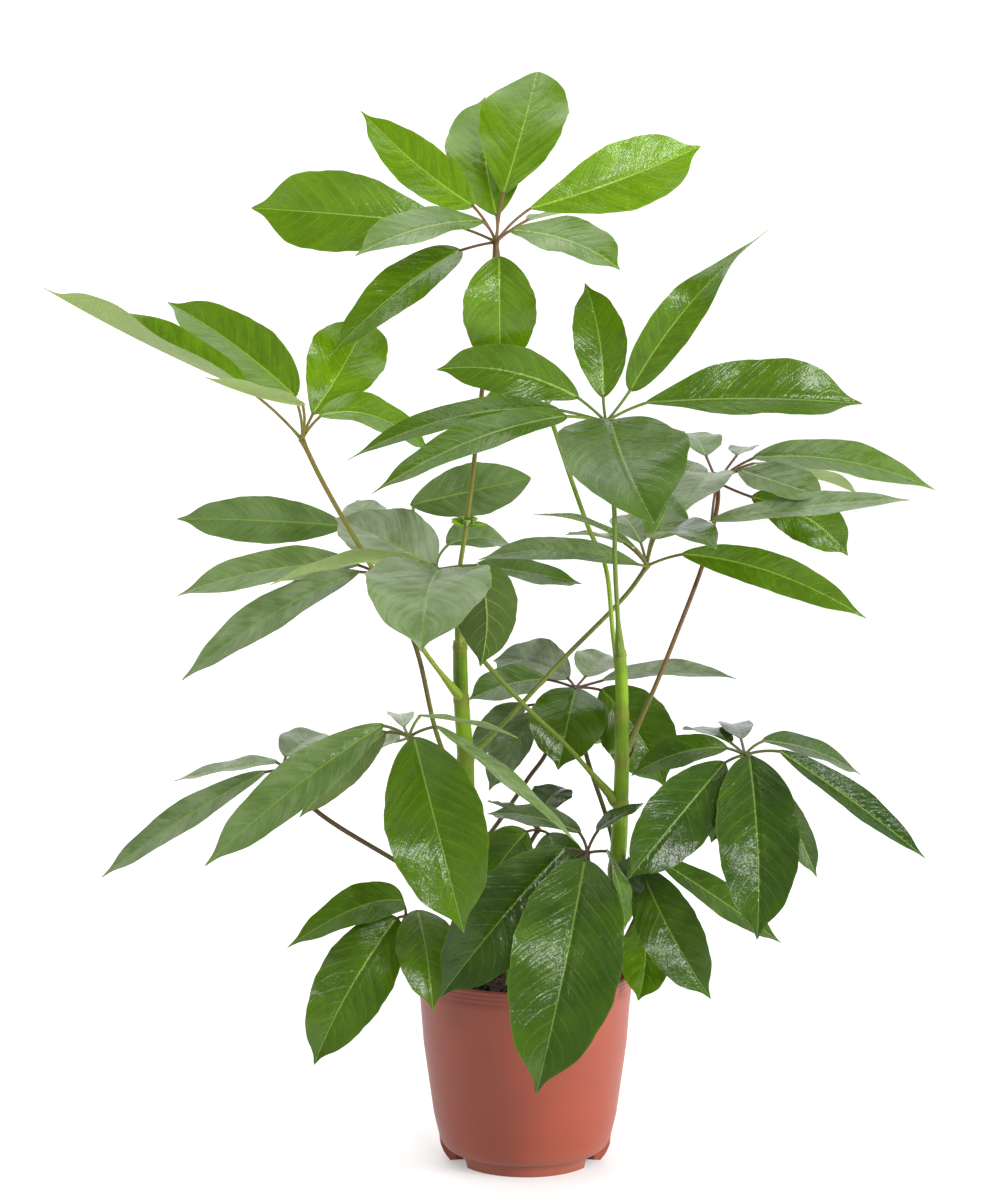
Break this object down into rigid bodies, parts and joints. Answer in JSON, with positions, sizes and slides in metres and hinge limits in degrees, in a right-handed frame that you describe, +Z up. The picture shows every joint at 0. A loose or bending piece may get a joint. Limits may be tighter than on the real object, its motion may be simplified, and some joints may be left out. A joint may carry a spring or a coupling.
{
  "type": "potted umbrella plant",
  "caption": "Umbrella plant with upright green stems and long-stalked compound leaves, standing in soil in a round tapered nursery pot.",
  "frame": {"origin": "middle of the pot's underside, on the surface that it stands on", "axes": "+Z up along the pot's axis, +X to the viewer's right in the picture, +Y away from the viewer"},
  "size_m": [0.8973, 0.4774, 1.1039],
  "materials": {
    "pot_plastic": "satin",
    "soil": "rough crumbs",
    "stem": "smooth green bark",
    "leaf": "waxy gloss"
  },
  "bodies": {
    "root": {"pot": "pot_plastic", "soil": "soil", "trunk_left": "stem", "trunk_right": "stem", "leaf_top": "leaf", "leaf_upper_left": "leaf", "leaf_left": "leaf", "leaf_middle_left": "leaf", "leaf_upper_right": "leaf", "leaf_right": "leaf", "leaf_middle_right": "leaf", "leaf_middle_back": "leaf", "leaf_inner_back": "leaf", "leaf_lower_left_front": "leaf", "leaf_lower_left": "leaf", "leaf_low_left": "leaf", "leaf_front": "leaf", "leaf_low_back": "leaf", "leaf_lower_right": "leaf", "leaf_low_right": "leaf", "leaf_lowest_right": "leaf", "leaf_young": "leaf"}
  },
  "joints": []
}
